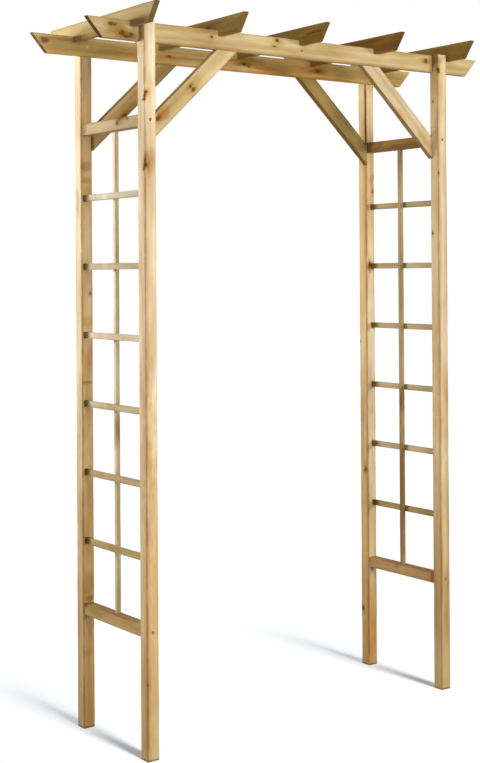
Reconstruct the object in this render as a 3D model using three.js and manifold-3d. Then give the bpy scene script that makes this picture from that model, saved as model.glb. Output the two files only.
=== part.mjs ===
// Flat-topped garden arch in planed softwood, in millimetres, standing on z = 0.
// Two ladder-like trellis sides carry two long beams, which run across the walkway (X).
// Five rafters cross the beams (Y) and four knee braces stiffen the corners.
import * as THREE from 'three';
import { mergeVertices } from 'three/addons/utils/BufferGeometryUtils.js';
import Module from 'manifold-3d';

const wasm = await Module();
wasm.setup();

// Walkway and posts
const clearWidth = 1086; // between the left and right posts
const clearDepth = 322; // between the front and rear post of one side
const postSide = 38;
const postHeight = 2068;
const postArris = 3; // rounding of the long edges

// Beams, let into the inner faces of the posts at the top
const beamLength = 1494; // along the top edge
const beamHeight = 57;
const beamThickness = 18;
const beamEndRun = 50; // how much shorter the bottom edge is at each end
const beamLetIn = 10; // depth of the housing in each post

// Rafters, notched over both beams
const rafterCount = 5;
const rafterLength = 601;
const rafterHeight = 54;
const rafterThickness = 18;
const rafterEndRun = 39;
const rafterDrop = 18; // how far the notched rafter drops over the beam
const rafterPostGap = 10; // from an outer rafter to the outer face of the post

// Knee braces, flush with the beams
const braceWidth = 52;
const braceThickness = 18;
const braceReach = 302; // along the beam, from the post to the brace's far corner
const braceDrop = 282; // down the post, from the beam to the brace's lowest corner
const boardArris = 2; // rounding of beams, rafters and braces

// Trellis sides
const railHeight = 35;
const railInset = 3; // from the post's faces
const railArris = 2;
const topRailDrop = 221; // from the underside of the beams to the middle of the rail
const bottomRailLevel = 357; // middle of the rail
const slatCount = 6;
const slatHeight = 19;
const slatThickness = 12;
const slatInset = 6; // from the outer face of the post
const slatTenon = 12; // how deep a slat's end stands in its mortise
const lathWidth = 16;
const lathThickness = 12;
const lathTenon = 8;
const latticeArris = 1.5;

// Countersunk screws
const headDiameter = 8;
const headRim = 0.6; // straight edge of the head
const shankDiameter = 4;
const tipLength = 6;
const railScrewLength = 70;
const beamScrewLength = 40;
const braceScrewLength = 60;
const braceScrewCover = 38; // wood between the head and the post
const braceScrewRise = 43; // above the brace's lowest corner
const rafterScrewLength = 65;
const accessLength = 60; // clear bore outside each head

const fitGap = 0.3; // between pieces that meet
const overrun = 5; // how far a cut runs past the face it opens
const arrisSteps = 3;
const roundSides = 16;

// Places worked out from the sizes above
const postX = (clearWidth + postSide) / 2;
const postY = (clearDepth + postSide) / 2;
const beamBottom = postHeight - beamHeight;
const topRailLevel = beamBottom - topRailDrop;
const beamOuterFace = clearDepth / 2 + beamLetIn - fitGap;
const beamY = beamOuterFace - beamThickness / 2;
const rafterBottom = postHeight - rafterDrop;
const outerRafterX = clearWidth / 2 + postSide + rafterPostGap + rafterThickness / 2;
const rafterPitch = (2 * outerRafterX) / (rafterCount - 1);
const latticePitch = (topRailLevel - bottomRailLevel) / (slatCount + 1);
const slatX = clearWidth / 2 + postSide - slatInset - slatThickness / 2;
const lathX = slatX - slatThickness / 2 - fitGap - lathThickness / 2;
const braceAngle = Math.atan2(braceDrop, braceReach);
const braceCutHeight = braceWidth / Math.cos(braceAngle);
const braceCutWidth = braceWidth / Math.sin(braceAngle);
const braceScrewLevel = beamBottom - fitGap - braceDrop + braceScrewRise;
const braceScrewY = (clearDepth / 2 + beamOuterFace) / 2;

const sides = [
  { name: 'left', sign: -1 },
  { name: 'right', sign: 1 },
];
const ends = [
  { name: 'front', sign: -1 },
  { name: 'rear', sign: 1 },
];
const slats = Array.from({ length: slatCount }, (_, index) => index + 1);
const slatLevel = (slat) => topRailLevel - slat * latticePitch;
const rafters = Array.from({ length: rafterCount }, (_, index) => index);
const rafterX = (rafter) => rafter * rafterPitch - outerRafterX;

// An outline drawn in the X-Z plane and thickened along Y
const facingFront = new THREE.Matrix4().makeBasis(
  new THREE.Vector3(1, 0, 0),
  new THREE.Vector3(0, 0, 1),
  new THREE.Vector3(0, -1, 0),
);
// An outline drawn in the Y-Z plane and thickened along X
const facingSide = new THREE.Matrix4().makeBasis(
  new THREE.Vector3(0, 1, 0),
  new THREE.Vector3(0, 0, 1),
  new THREE.Vector3(1, 0, 0),
);

function solidOf(geometry) {
  const bare = geometry.clone();
  bare.deleteAttribute('normal');
  bare.deleteAttribute('uv');
  const merged = mergeVertices(bare);
  return new wasm.Manifold(
    new wasm.Mesh({
      numProp: 3,
      vertProperties: new Float32Array(merged.attributes.position.array),
      triVerts: new Uint32Array(merged.index.array),
    }),
  );
}

function geometryOf(solid) {
  const { vertProperties, triVerts } = solid.getMesh();
  const indexed = new THREE.BufferGeometry();
  indexed.setAttribute('position', new THREE.BufferAttribute(vertProperties, 3));
  indexed.setIndex(new THREE.BufferAttribute(triVerts, 1));
  const flat = indexed.toNonIndexed();
  flat.computeVertexNormals();
  return flat;
}

function cutAway(geometry, cutters) {
  const whole = solidOf(geometry);
  return geometryOf(cutters.reduce((left, cutter) => left.subtract(solidOf(cutter)), whole));
}

// Rectangle with rounded corners, centred on the origin
function roundedRectangle(width, height, radius) {
  const x = width / 2 - radius;
  const y = height / 2 - radius;
  const outline = new THREE.Shape();
  outline.absarc(x, y, radius, 0, Math.PI / 2);
  outline.absarc(-x, y, radius, Math.PI / 2, Math.PI);
  outline.absarc(-x, -y, radius, Math.PI, 1.5 * Math.PI);
  outline.absarc(x, -y, radius, 1.5 * Math.PI, 2 * Math.PI);
  return outline;
}

// A planed bar: its section runs along Z from the origin and its long edges are rounded
function bar(width, height, radius, length) {
  const section = roundedRectangle(width, height, radius);
  return new THREE.ExtrudeGeometry(section, {
    depth: length,
    bevelEnabled: false,
    curveSegments: arrisSteps,
  });
}

// A flat board: its outline is centred in its thickness and all its edges are rounded
function board(corners, thickness) {
  const outline = new THREE.Shape(corners.map(([x, y]) => new THREE.Vector2(x, y)));
  const depth = thickness - 2 * boardArris;
  const geometry = new THREE.ExtrudeGeometry(outline, {
    depth,
    bevelThickness: boardArris,
    bevelSize: boardArris,
    bevelOffset: -boardArris,
    bevelSegments: arrisSteps,
  });
  return geometry.translate(0, 0, -depth / 2);
}

function block(low, high) {
  const size = new THREE.Vector3().subVectors(high, low);
  const middle = new THREE.Vector3().addVectors(high, low).multiplyScalar(0.5);
  return new THREE.BoxGeometry(size.x, size.y, size.z).translate(middle.x, middle.y, middle.z);
}

// A block given by a middle and a full size
function blockAround(middle, size) {
  const half = size.clone().multiplyScalar(0.5);
  return block(middle.clone().sub(half), middle.clone().add(half));
}

// A screw points along its aim from the flat top of its head
function screwProfile(length, clearance, access) {
  const head = headDiameter / 2 + clearance;
  const shank = shankDiameter / 2 + clearance;
  const taper = head - shank;
  const end = length + clearance;
  const points = [
    [0, -access],
    [head, -access],
    [head, headRim],
    [shank, headRim + taper],
    [shank, end - tipLength],
    [0, end],
  ];
  return points.map(([radius, depth]) => new THREE.Vector2(radius, depth));
}

function turned(profile, head, aim) {
  const turn = new THREE.Quaternion().setFromUnitVectors(new THREE.Vector3(0, 1, 0), aim);
  const geometry = new THREE.LatheGeometry(profile, roundSides).applyQuaternion(turn);
  return geometry.translate(head.x, head.y, head.z);
}

// Every screw: the flat top of its head, the way it points and the pieces that it joins
function railScrews() {
  return sides.flatMap((side) =>
    ends.flatMap((end) =>
      [
        { name: 'top', level: topRailLevel },
        { name: 'bottom', level: bottomRailLevel },
      ].map((rail) => ({
        name: `${end.name}_${side.name}_${rail.name}_rail_screw`,
        head: new THREE.Vector3(side.sign * postX, end.sign * (postY + postSide / 2), rail.level),
        aim: new THREE.Vector3(0, -end.sign, 0),
        length: railScrewLength,
        joins: [`${end.name}_${side.name}_post`, `${side.name}_${rail.name}_rail`],
      })),
    ),
  );
}

function beamScrews() {
  return sides.flatMap((side) =>
    ends.map((end) => ({
      name: `${end.name}_${side.name}_beam_screw`,
      head: new THREE.Vector3(
        side.sign * postX,
        end.sign * (beamY - beamThickness / 2),
        beamBottom + beamHeight / 2,
      ),
      aim: new THREE.Vector3(0, end.sign, 0),
      length: beamScrewLength,
      joins: [`${end.name}_${side.name}_post`, `${end.name}_beam`],
    })),
  );
}

function braceScrews() {
  return sides.flatMap((side) =>
    ends.map((end) => ({
      name: `${end.name}_${side.name}_brace_screw`,
      head: new THREE.Vector3(
        side.sign * (clearWidth / 2 - braceScrewCover),
        end.sign * braceScrewY,
        braceScrewLevel,
      ),
      aim: new THREE.Vector3(side.sign, 0, 0),
      length: braceScrewLength,
      joins: [`${end.name}_${side.name}_post`, `${end.name}_${side.name}_brace`],
    })),
  );
}

function rafterScrews() {
  return rafters.flatMap((rafter) =>
    ends.map((end) => ({
      name: `${end.name}_rafter_screw_${rafter + 1}`,
      head: new THREE.Vector3(rafterX(rafter), end.sign * beamY, rafterBottom + rafterHeight),
      aim: new THREE.Vector3(0, 0, -1),
      length: rafterScrewLength,
      joins: [`rafter_${rafter + 1}`, `${end.name}_beam`],
    })),
  );
}

const screws = [...railScrews(), ...beamScrews(), ...braceScrews(), ...rafterScrews()];

// The bores that a piece standing at this place needs for its screws
function screwBores(name, place) {
  return screws
    .filter((screw) => screw.joins.includes(name))
    .map((screw) =>
      turned(
        screwProfile(screw.length, fitGap, accessLength),
        screw.head.clone().sub(place),
        screw.aim,
      ),
    );
}

const timberColours = [0xd2b27c, 0xc9a76e, 0xd8ba86, 0xcbab76];

function timberMesh(name, geometry, place, shade) {
  const material = new THREE.MeshStandardMaterial({
    color: timberColours[shade % timberColours.length],
    roughness: 0.78,
    metalness: 0,
  });
  const mesh = new THREE.Mesh(geometry, material);
  mesh.name = name;
  mesh.position.copy(place);
  return mesh;
}

// A post's housing for the beam is open at the top and on the side that faces the other post.
function beamHousing(end) {
  const shoulder = postHeight - beamHeight - fitGap;
  const reach = postSide / 2 + overrun;
  const back = -end.sign * (postSide / 2 - beamLetIn);
  const open = -end.sign * reach;
  return block(
    new THREE.Vector3(-reach, Math.min(back, open), shoulder),
    new THREE.Vector3(reach, Math.max(back, open), postHeight + overrun),
  );
}

// Blind mortises for the slats
function slatMortises(side, end) {
  const depth = slatTenon + fitGap + overrun;
  const middleY = -end.sign * (postSide / 2 + overrun - depth / 2);
  const size = new THREE.Vector3(slatThickness + 2 * fitGap, depth, slatHeight + 2 * fitGap);
  return slats.map((slat) =>
    blockAround(new THREE.Vector3(side.sign * (slatX - postX), middleY, slatLevel(slat)), size),
  );
}

function makePost(side, end) {
  const name = `${end.name}_${side.name}_post`;
  const place = new THREE.Vector3(side.sign * postX, end.sign * postY, 0);
  const timber = bar(postSide, postSide, postArris, postHeight);
  const cutters = [
    beamHousing(end),
    ...slatMortises(side, end),
    ...screwBores(name, place),
  ];
  return timberMesh(name, cutAway(timber, cutters), place, side.sign + end.sign + 2);
}

function makeBeam(end) {
  const name = `${end.name}_beam`;
  const place = new THREE.Vector3(0, end.sign * beamY, beamBottom);
  const top = beamLength / 2;
  const bottom = top - beamEndRun;
  const timber = board(
    [
      [-bottom, 0],
      [bottom, 0],
      [top, beamHeight],
      [-top, beamHeight],
    ],
    beamThickness,
  ).applyMatrix4(facingFront);
  return timberMesh(name, cutAway(timber, screwBores(name, place)), place, end.sign + 1);
}

// Notches in a rafter's underside, one over each beam
function rafterNotches() {
  const size = new THREE.Vector3(
    rafterThickness + 2 * overrun,
    beamThickness + 2 * fitGap,
    rafterDrop + fitGap + overrun,
  );
  return ends.map((end) =>
    blockAround(new THREE.Vector3(0, end.sign * beamY, rafterDrop + fitGap - size.z / 2), size),
  );
}

function makeRafter(rafter) {
  const name = `rafter_${rafter + 1}`;
  const place = new THREE.Vector3(rafterX(rafter), 0, rafterBottom);
  const top = rafterLength / 2;
  const bottom = top - rafterEndRun;
  const timber = board(
    [
      [-bottom, 0],
      [bottom, 0],
      [top, rafterHeight],
      [-top, rafterHeight],
    ],
    rafterThickness,
  ).applyMatrix4(facingSide);
  const cutters = [...rafterNotches(), ...screwBores(name, place)];
  return timberMesh(name, cutAway(timber, cutters), place, rafter);
}

// A brace is drawn from the corner of post and beam, with an upright and a level end cut.
function makeBrace(side, end) {
  const name = `${end.name}_${side.name}_brace`;
  const place = new THREE.Vector3(
    side.sign * (clearWidth / 2 - fitGap),
    end.sign * beamY,
    beamBottom - fitGap,
  );
  const corners = [
    [0, -braceDrop],
    [braceReach, 0],
    [braceReach - braceCutWidth, 0],
    [0, braceCutHeight - braceDrop],
  ];
  const inward = corners.map(([x, z]) => [-side.sign * x, z]);
  const outline = side.sign < 0 ? inward : inward.reverse();
  const timber = board(outline, braceThickness).applyMatrix4(facingFront);
  return timberMesh(name, cutAway(timber, screwBores(name, place)), place, side.sign + end.sign + 3);
}

// The rail's mortise for the lath, in the face that looks at the other rail
function lathMortise(side, facing) {
  const depth = lathTenon + fitGap + overrun;
  const size = new THREE.Vector3(lathThickness + 2 * fitGap, lathWidth + 2 * fitGap, depth);
  const middleZ = facing * (railHeight / 2 + overrun - depth / 2);
  return blockAround(new THREE.Vector3(side.sign * (lathX - postX), 0, middleZ), size);
}

function makeRail(side, level, word, facing) {
  const name = `${side.name}_${word}_rail`;
  const place = new THREE.Vector3(side.sign * postX, 0, level);
  const length = clearDepth - 2 * fitGap;
  const timber = bar(postSide - 2 * railInset, railHeight, railArris, length)
    .translate(0, 0, -length / 2)
    .applyMatrix4(facingFront);
  const cutters = [lathMortise(side, facing), ...screwBores(name, place)];
  return timberMesh(name, cutAway(timber, cutters), place, side.sign + facing + 2);
}

function makeSlat(side, slat) {
  const length = clearDepth + 2 * slatTenon;
  const timber = bar(slatThickness, slatHeight, latticeArris, length)
    .translate(0, 0, -length / 2)
    .applyMatrix4(facingFront);
  const place = new THREE.Vector3(side.sign * slatX, 0, slatLevel(slat));
  return timberMesh(`${side.name}_slat_${slat}`, timber, place, slat);
}

function makeLath(side) {
  const bottom = bottomRailLevel + railHeight / 2 - lathTenon;
  const top = topRailLevel - railHeight / 2 + lathTenon;
  const timber = bar(lathThickness, lathWidth, latticeArris, top - bottom);
  const place = new THREE.Vector3(side.sign * lathX, 0, bottom);
  return timberMesh(`${side.name}_lath`, timber, place, side.sign + 2);
}

function makeScrew(screw) {
  const material = new THREE.MeshStandardMaterial({
    color: 0x8b8574,
    roughness: 0.45,
    metalness: 0.9,
  });
  const profile = screwProfile(screw.length, 0, 0);
  const mesh = new THREE.Mesh(turned(profile, new THREE.Vector3(), screw.aim), material);
  mesh.name = screw.name;
  mesh.position.copy(screw.head);
  return mesh;
}

const arch = new THREE.Group();
for (const side of sides) {
  const trellis = new THREE.Group();
  trellis.add(...ends.map((end) => makePost(side, end)));
  trellis.add(makeRail(side, topRailLevel, 'top', -1));
  trellis.add(...slats.map((slat) => makeSlat(side, slat)));
  trellis.add(makeRail(side, bottomRailLevel, 'bottom', 1));
  trellis.add(makeLath(side));
  arch.add(trellis);
}
const canopy = new THREE.Group();
canopy.add(...ends.map((end) => makeBeam(end)));
canopy.add(...rafters.map((rafter) => makeRafter(rafter)));
canopy.add(...sides.flatMap((side) => ends.map((end) => makeBrace(side, end))));
arch.add(canopy);
arch.add(...screws.map((screw) => makeScrew(screw)));

export default arch;
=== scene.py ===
# A flat-topped garden arch of planed pine: posts, beams, rafters, knee braces, trellis sides.
# Lengths are in metres: x across the walkway, y from the front to the back, z up.
from math import atan2, cos, radians, sin

import bpy
import numpy as np
from mathutils import Matrix, Vector


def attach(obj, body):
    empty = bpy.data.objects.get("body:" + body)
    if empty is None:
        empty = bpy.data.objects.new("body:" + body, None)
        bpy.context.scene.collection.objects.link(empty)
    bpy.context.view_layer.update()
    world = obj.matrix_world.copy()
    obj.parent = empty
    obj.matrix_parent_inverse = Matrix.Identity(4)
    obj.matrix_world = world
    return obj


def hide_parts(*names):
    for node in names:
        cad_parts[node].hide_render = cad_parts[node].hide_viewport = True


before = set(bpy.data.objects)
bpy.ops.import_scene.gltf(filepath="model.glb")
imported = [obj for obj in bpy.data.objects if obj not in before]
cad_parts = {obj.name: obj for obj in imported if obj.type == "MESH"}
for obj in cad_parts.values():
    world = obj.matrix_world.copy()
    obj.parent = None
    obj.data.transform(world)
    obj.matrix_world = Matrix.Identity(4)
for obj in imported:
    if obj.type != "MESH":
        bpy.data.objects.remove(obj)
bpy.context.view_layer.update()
print("frame:", len(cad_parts), "nodes")

scene = bpy.context.scene
scene.view_settings.view_transform = "Standard"
mm = 0.001

# Camera: nearly level, in front of the arch and to its left, worked out from the arch's corners
view = {
    "turn": 35.726,  # degrees
    "rise": 0.474,
    "roll": -0.356,
    "target": (-0.1153, -0.0001, 1.3941),
    "distance": 4.3259,
    "focal": 1397.3,  # pixels
    "middle": (239.3, 261.6),  # where the lens axis meets the picture
    "picture": (480, 763),
    "sensor": 36,
    "farthest": 200,
}


def makeCamera():
    # Forward comes from turn and rise, right is level, and the roll turns right and up
    turn, rise, roll = (radians(view[key]) for key in ("turn", "rise", "roll"))
    forward = Vector((sin(turn) * cos(rise), cos(turn) * cos(rise), sin(rise)))
    level = Vector((cos(turn), -sin(turn), 0))
    upright = level.cross(forward)
    right = level * cos(roll) + upright * sin(roll)
    up = upright * cos(roll) - level * sin(roll)
    data = bpy.data.cameras.new("camera")
    wide, high = view["picture"]
    longSide = max(wide, high)
    data.sensor_width = view["sensor"]
    data.lens = view["focal"] * data.sensor_width / longSide
    data.shift_x = (wide / 2 - view["middle"][0]) / longSide
    data.shift_y = (view["middle"][1] - high / 2) / longSide
    data.clip_end = view["farthest"]
    camera = bpy.data.objects.new("camera", data)
    scene.collection.objects.link(camera)
    place = Vector(view["target"]) - forward * view["distance"]
    turned = Matrix((right, up, -forward)).transposed().to_4x4()
    camera.matrix_world = Matrix.Translation(place) @ turned
    scene.camera = camera


makeCamera()
print("camera ready")

# Node helpers: a value is a number, a tuple or another node's output
mixSockets = {"factor": 0, "from": 6, "to": 7, "result": 2}  # of a Mix node for colours
noiseGain = 4.0  # noise keeps to the middle of 0 to 1, and this spreads it out


def put(socket, value):
    if isinstance(value, bpy.types.NodeSocket):
        socket.id_data.links.new(value, socket)
    elif isinstance(value, (tuple, list)) and len(socket.default_value) == len(value) + 1:
        socket.default_value = (*value, 1)  # a colour without its alpha
    else:
        socket.default_value = value


def calc(tree, operation, *values, clamp=False):
    node = tree.nodes.new("ShaderNodeMath")
    node.operation = operation
    node.use_clamp = clamp
    for socket, value in zip(node.inputs, values):
        put(socket, value)
    return node.outputs[0]


def times(tree, first, second):
    return calc(tree, "MULTIPLY", first, second)


def plus(tree, first, second):
    return calc(tree, "ADD", first, second)


def swing(tree, noise, height):
    # Noise about zero: (noise - 1/2) * height
    return times(tree, calc(tree, "SUBTRACT", noise, 0.5), height)


def vectorCalc(tree, operation, *values):
    node = tree.nodes.new("ShaderNodeVectorMath")
    node.operation = operation
    if operation == "SCALE":
        put(node.inputs[0], values[0])
        put(node.inputs["Scale"], values[1])
    else:
        for socket, value in zip(node.inputs, values):
            put(socket, value)
    return node.outputs["Value" if operation == "LENGTH" else "Vector"]


def vectorSwing(tree, noise, height):
    return vectorCalc(tree, "SCALE", vectorCalc(tree, "SUBTRACT", noise, (0.5, 0.5, 0.5)), height)


def ramp(tree, value, low, high, start=0.0, end=1.0):
    # start below low, end above high, and a smooth step between them
    node = tree.nodes.new("ShaderNodeMapRange")
    node.interpolation_type = "SMOOTHSTEP"
    for socket, entry in zip(node.inputs, (value, low, high, start, end)):
        put(socket, entry)
    return node.outputs["Result"]


def fade(tree, value, low, high):
    return ramp(tree, value, low, high, 1.0, 0.0)


def mixColour(tree, factor, first, second, mode="MIX"):
    node = tree.nodes.new("ShaderNodeMix")
    node.data_type = "RGBA"
    node.blend_type = mode
    put(node.inputs[mixSockets["factor"]], factor)
    put(node.inputs[mixSockets["from"]], first)
    put(node.inputs[mixSockets["to"]], second)
    return node.outputs[mixSockets["result"]]


def tint(tree, colour, factors, mask=1.0):
    # The colour times the factors where the mask is 1
    return mixColour(tree, mask, colour, factors, "MULTIPLY")


def cloud(tree, place, stretch, detail=2.0, roughness=0.5, output="Fac"):
    # Noise whose lumps measure about 1 / stretch along each axis
    node = tree.nodes.new("ShaderNodeTexNoise")
    put(node.inputs["Vector"], vectorCalc(tree, "MULTIPLY", place, stretch))
    put(node.inputs["Scale"], 1.0)
    put(node.inputs["Detail"], detail)
    put(node.inputs["Roughness"], roughness)
    return node.outputs[output]


def lineNoise(tree, value, detail=2.0):
    # Noise along a single value
    node = tree.nodes.new("ShaderNodeTexNoise")
    node.noise_dimensions = "1D"
    put(node.inputs["W"], value)
    put(node.inputs["Scale"], 1.0)
    put(node.inputs["Detail"], detail)
    return node.outputs["Fac"]


def parts(tree, vector):
    node = tree.nodes.new("ShaderNodeSeparateXYZ")
    put(node.inputs[0], vector)
    return node.outputs


def joined(tree, x, y, z):
    node = tree.nodes.new("ShaderNodeCombineXYZ")
    for socket, value in zip(node.inputs, (x, y, z)):
        put(socket, value)
    return node.outputs[0]


def turnedInto(tree, direction, axes):
    # The same direction in the timber's own axes
    node = tree.nodes.new("ShaderNodeVectorRotate")
    node.rotation_type = "EULER_XYZ"
    node.invert = True
    node.inputs["Rotation"].default_value = axes.to_euler()
    put(node.inputs["Vector"], direction)
    return node.outputs[0]


def newMaterial(name):
    material = bpy.data.materials.new(name)
    material.use_nodes = True
    return material, material.node_tree, material.node_tree.nodes["Principled BSDF"]


def addBump(tree, surface, height, distance, strength=1.0):
    bump = tree.nodes.new("ShaderNodeBump")
    put(bump.inputs["Height"], height)
    bump.inputs["Distance"].default_value = distance
    bump.inputs["Strength"].default_value = strength
    put(surface.inputs["Normal"], bump.outputs[0])


# Node groups, which every timber's material places with its own values
nowhere = (0.0, 0.0, 0.0)


def effectGroup(name, outputs, **inputs):
    # The outputs are numbers, and an input is a number or a vector, as its first value is
    group = bpy.data.node_groups.new(name, "ShaderNodeTree")
    number, vector = "NodeSocketFloat", "NodeSocketVector"
    for label, value in inputs.items():
        kind = vector if isinstance(value, tuple) else number
        socket = group.interface.new_socket(label, in_out="INPUT", socket_type=kind)
        socket.default_value = value
    for label in outputs:
        group.interface.new_socket(label, in_out="OUTPUT", socket_type=number)
    given = group.nodes.new("NodeGroupInput").outputs
    out = group.nodes.new("NodeGroupOutput").inputs
    return group, given, out


def useGroup(tree, group, **values):
    node = tree.nodes.new("ShaderNodeGroup")
    node.node_tree = group
    for label, value in values.items():
        put(node.inputs[label], value)
    return node.outputs


ringForm = {
    "drift": ((1.6, 6.0, 6.0), 1.5, 0.45),  # noise that moves the pith: stretch, detail, roughness
    "taper": 0.006,  # growth of the radius along the timber
    "ripple": ((14.0, 160.0, 160.0), 2.0, 0.6),
    "rippleHeight": 1.2 * mm,
    "uneven": 0.45,  # how soon the rings' widths change,
    "unevenBy": 1.3,  # and by how many rings
    "rise": (0.25, 0.93),  # summer wood darkens between these shares of a ring
    "fall": (0.95, 1.0),
    "band": 0.17,  # how soon groups of rings change in tone
}


def makeRingGroup(form):
    # Rings are cylinders about the pith, which wanders: the distance to it, in ring widths, gives
    # a slow rise from pale spring wood to dark summer wood and a quick fall
    group, given, out = effectGroup(
        "growthRings", ("Summer", "Band"), Place=nowhere, Pith=nowhere, Width=0.004, Wander=0.006,
        Bend=0.0, Seed=0.0,
    )
    shifted = vectorCalc(group, "ADD", given["Place"], joined(group, given["Seed"], 0.0, 0.0))
    drift = cloud(group, shifted, *form["drift"], "Color")
    drift = vectorSwing(group, drift, times(group, given["Wander"], noiseGain))
    fromPith = vectorCalc(group, "SUBTRACT", given["Place"], given["Pith"])
    fromPith = vectorCalc(group, "ADD", fromPith, drift)
    across = vectorCalc(group, "MULTIPLY", fromPith, (0, 1, 1))
    radius = plus(group, vectorCalc(group, "LENGTH", across), given["Bend"])
    radius = plus(group, radius, times(group, parts(group, shifted)[0], form["taper"]))
    ripple = swing(group, cloud(group, shifted, *form["ripple"]), form["rippleHeight"])
    turns = calc(group, "DIVIDE", plus(group, radius, ripple), given["Width"])
    uneven = lineNoise(group, times(group, turns, form["uneven"]))
    turns = plus(group, turns, times(group, uneven, form["unevenBy"]))
    age = calc(group, "FRACT", turns)
    rise, fall = ramp(group, age, *form["rise"]), fade(group, age, *form["fall"])
    put(out["Summer"], times(group, rise, fall))
    band = plus(group, times(group, turns, form["band"]), given["Seed"])
    put(out["Band"], lineNoise(group, band, 1.0))
    return group


knotForm = {
    "lump": ((150.0, 190.0, 190.0), 2.0, 0.6),
    "lumpHeight": 1.6,
    "core": (0.45, 1.05),
    "rimStart": (0.5, 0.8),
    "rimEnd": (0.8, 1.15),
    "broken": ((90.0, 120.0, 120.0), 1.0),  # gaps in the rim
    "brokenAt": (0.36, 0.56),
    "haloShape": (0.36, 0.62, 0.8),  # the halo is drawn out along the grain
    "halo": (0.25, 1.7),
    "bend": (0.0, 2.4),
    "bendHeight": 12 * mm,
    "rings": 16.0,
}


def makeKnotGroup(form):
    # The distance from the knot's centre, with each axis divided by the knot's half size, is 1 at
    # its rim. The halo fades outside it, and Bend pushes the growth rings round it
    group, given, out = effectGroup(
        "knot", ("Core", "Rim", "Halo", "Bend", "Rays"), Place=nowhere, Centre=nowhere,
        Reach=(0.01, 0.01, 0.01), Strength=1.0,
    )
    lump = cloud(group, given["Place"], *form["lump"], "Color")
    offset = vectorCalc(group, "SUBTRACT", given["Place"], given["Centre"])
    rough = vectorCalc(group, "DIVIDE", offset, given["Reach"])
    rough = vectorCalc(group, "ADD", rough, vectorSwing(group, lump, form["lumpHeight"]))
    away = vectorCalc(group, "LENGTH", rough)
    core = fade(group, away, *form["core"])
    rim = times(group, ramp(group, away, *form["rimStart"]), fade(group, away, *form["rimEnd"]))
    broken = cloud(group, given["Place"], *form["broken"])
    rim = times(group, rim, ramp(group, broken, *form["brokenAt"]))
    long = vectorCalc(group, "LENGTH", vectorCalc(group, "MULTIPLY", rough, form["haloShape"]))
    halo = calc(group, "POWER", fade(group, long, *form["halo"]), 2.0)
    bend = times(group, fade(group, long, *form["bend"]), form["bendHeight"])
    for label, value in {"Core": core, "Rim": rim, "Halo": halo, "Bend": bend}.items():
        put(out[label], times(group, value, given["Strength"]))
    put(out["Rays"], times(group, calc(group, "SINE", times(group, away, form["rings"])), core))
    return group


figureForm = {
    "fibre": ((22.0, 1300.0, 1300.0), 3.0, 0.6),
    "streak": ((3.2, 120.0, 120.0), 2.0, 0.55),
    "streakAt": (0.56, 0.78),
    "cloudy": ((4.5, 22.0, 22.0), 2.0, 0.5),
    "pores": ((180.0, 2600.0, 2600.0), 1.0, 0.5),
    "poresAt": (0.63, 0.8),
}


def makeFigureGroup(form):
    # Fibres are very long noise, Streak is a few brown lines along the grain, Cloudy is a slow
    # change of tone along the timber
    group, given, out = effectGroup(
        "pineFigure", ("Fibre", "Streak", "Cloudy", "Pores"), Place=nowhere, Seed=0.0,
    )
    shift = joined(group, given["Seed"], given["Seed"], 0.0)
    place = vectorCalc(group, "ADD", given["Place"], shift)
    put(out["Fibre"], cloud(group, place, *form["fibre"]))
    put(out["Streak"], ramp(group, cloud(group, place, *form["streak"]), *form["streakAt"]))
    put(out["Cloudy"], cloud(group, place, *form["cloudy"]))
    put(out["Pores"], ramp(group, cloud(group, place, *form["pores"]), *form["poresAt"]))
    return group


zoneForm = {"lump": ((30.0, 120.0, 120.0), 2.0, 0.5), "lumpHeight": 0.9, "edge": (0.35, 1.15)}


def makeZoneGroup(form):
    # A patch of other tone with a soft uneven edge, such as resin, bark stain or a drip mark; some
    # patches are painted shade and painted shadows instead
    group, given, out = effectGroup(
        "zone", ("Mask",), Place=nowhere, Centre=nowhere, Reach=(0.05, 0.02, 0.02), Strength=0.5,
    )
    lump = swing(group, cloud(group, given["Place"], *form["lump"]), form["lumpHeight"])
    offset = vectorCalc(group, "SUBTRACT", given["Place"], given["Centre"])
    away = vectorCalc(group, "LENGTH", vectorCalc(group, "DIVIDE", offset, given["Reach"]))
    mask = fade(group, plus(group, away, lump), *form["edge"])
    put(out["Mask"], times(group, mask, given["Strength"]))
    return group


weatherForm = {
    "broken": ((20.0, 20.0, 20.0), 2.0, 0.5),
    "brokenAt": (0.0, 0.6),
    "high": (1.9, 2.1),  # damp comes in between these heights
    "low": (0.0, 0.12),  # and goes between these
    "patch": ((7.0, 7.0, 12.0), 3.0, 0.55),
    "patchAt": (0.35, 0.75),
    "dust": ((3.0, 3.0, 3.0), 5.0, 0.6),
}


def makeWeatherGroup(form):
    # WearAndShade darkens the arrises of the timber, as wear and as painted shade on their rounded
    # faces, Damp is a green tint high up and at the feet, and Dust is a fine uneven grey
    group, given, out = effectGroup(
        "weather", ("WearAndShade", "Damp", "Dust"), Object=nowhere, Arris=0.0, Seed=0.0,
    )
    place = vectorCalc(group, "ADD", given["Object"], joined(group, given["Seed"], 0.0, 0.0))
    broken = ramp(group, cloud(group, place, *form["broken"]), *form["brokenAt"])
    put(out["WearAndShade"], times(group, given["Arris"], broken))
    height = parts(group, given["Object"])[2]
    high, low = ramp(group, height, *form["high"]), fade(group, height, *form["low"])
    patch = ramp(group, cloud(group, place, *form["patch"]), *form["patchAt"])
    put(out["Damp"], times(group, calc(group, "MAXIMUM", high, low), patch))
    put(out["Dust"], cloud(group, place, *form["dust"]))
    return group


ringGroup, knotGroup = makeRingGroup(ringForm), makeKnotGroup(knotForm)
figureGroup, zoneGroup = makeFigureGroup(figureForm), makeZoneGroup(zoneForm)
weatherGroup = makeWeatherGroup(weatherForm)
print("node groups ready")


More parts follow.
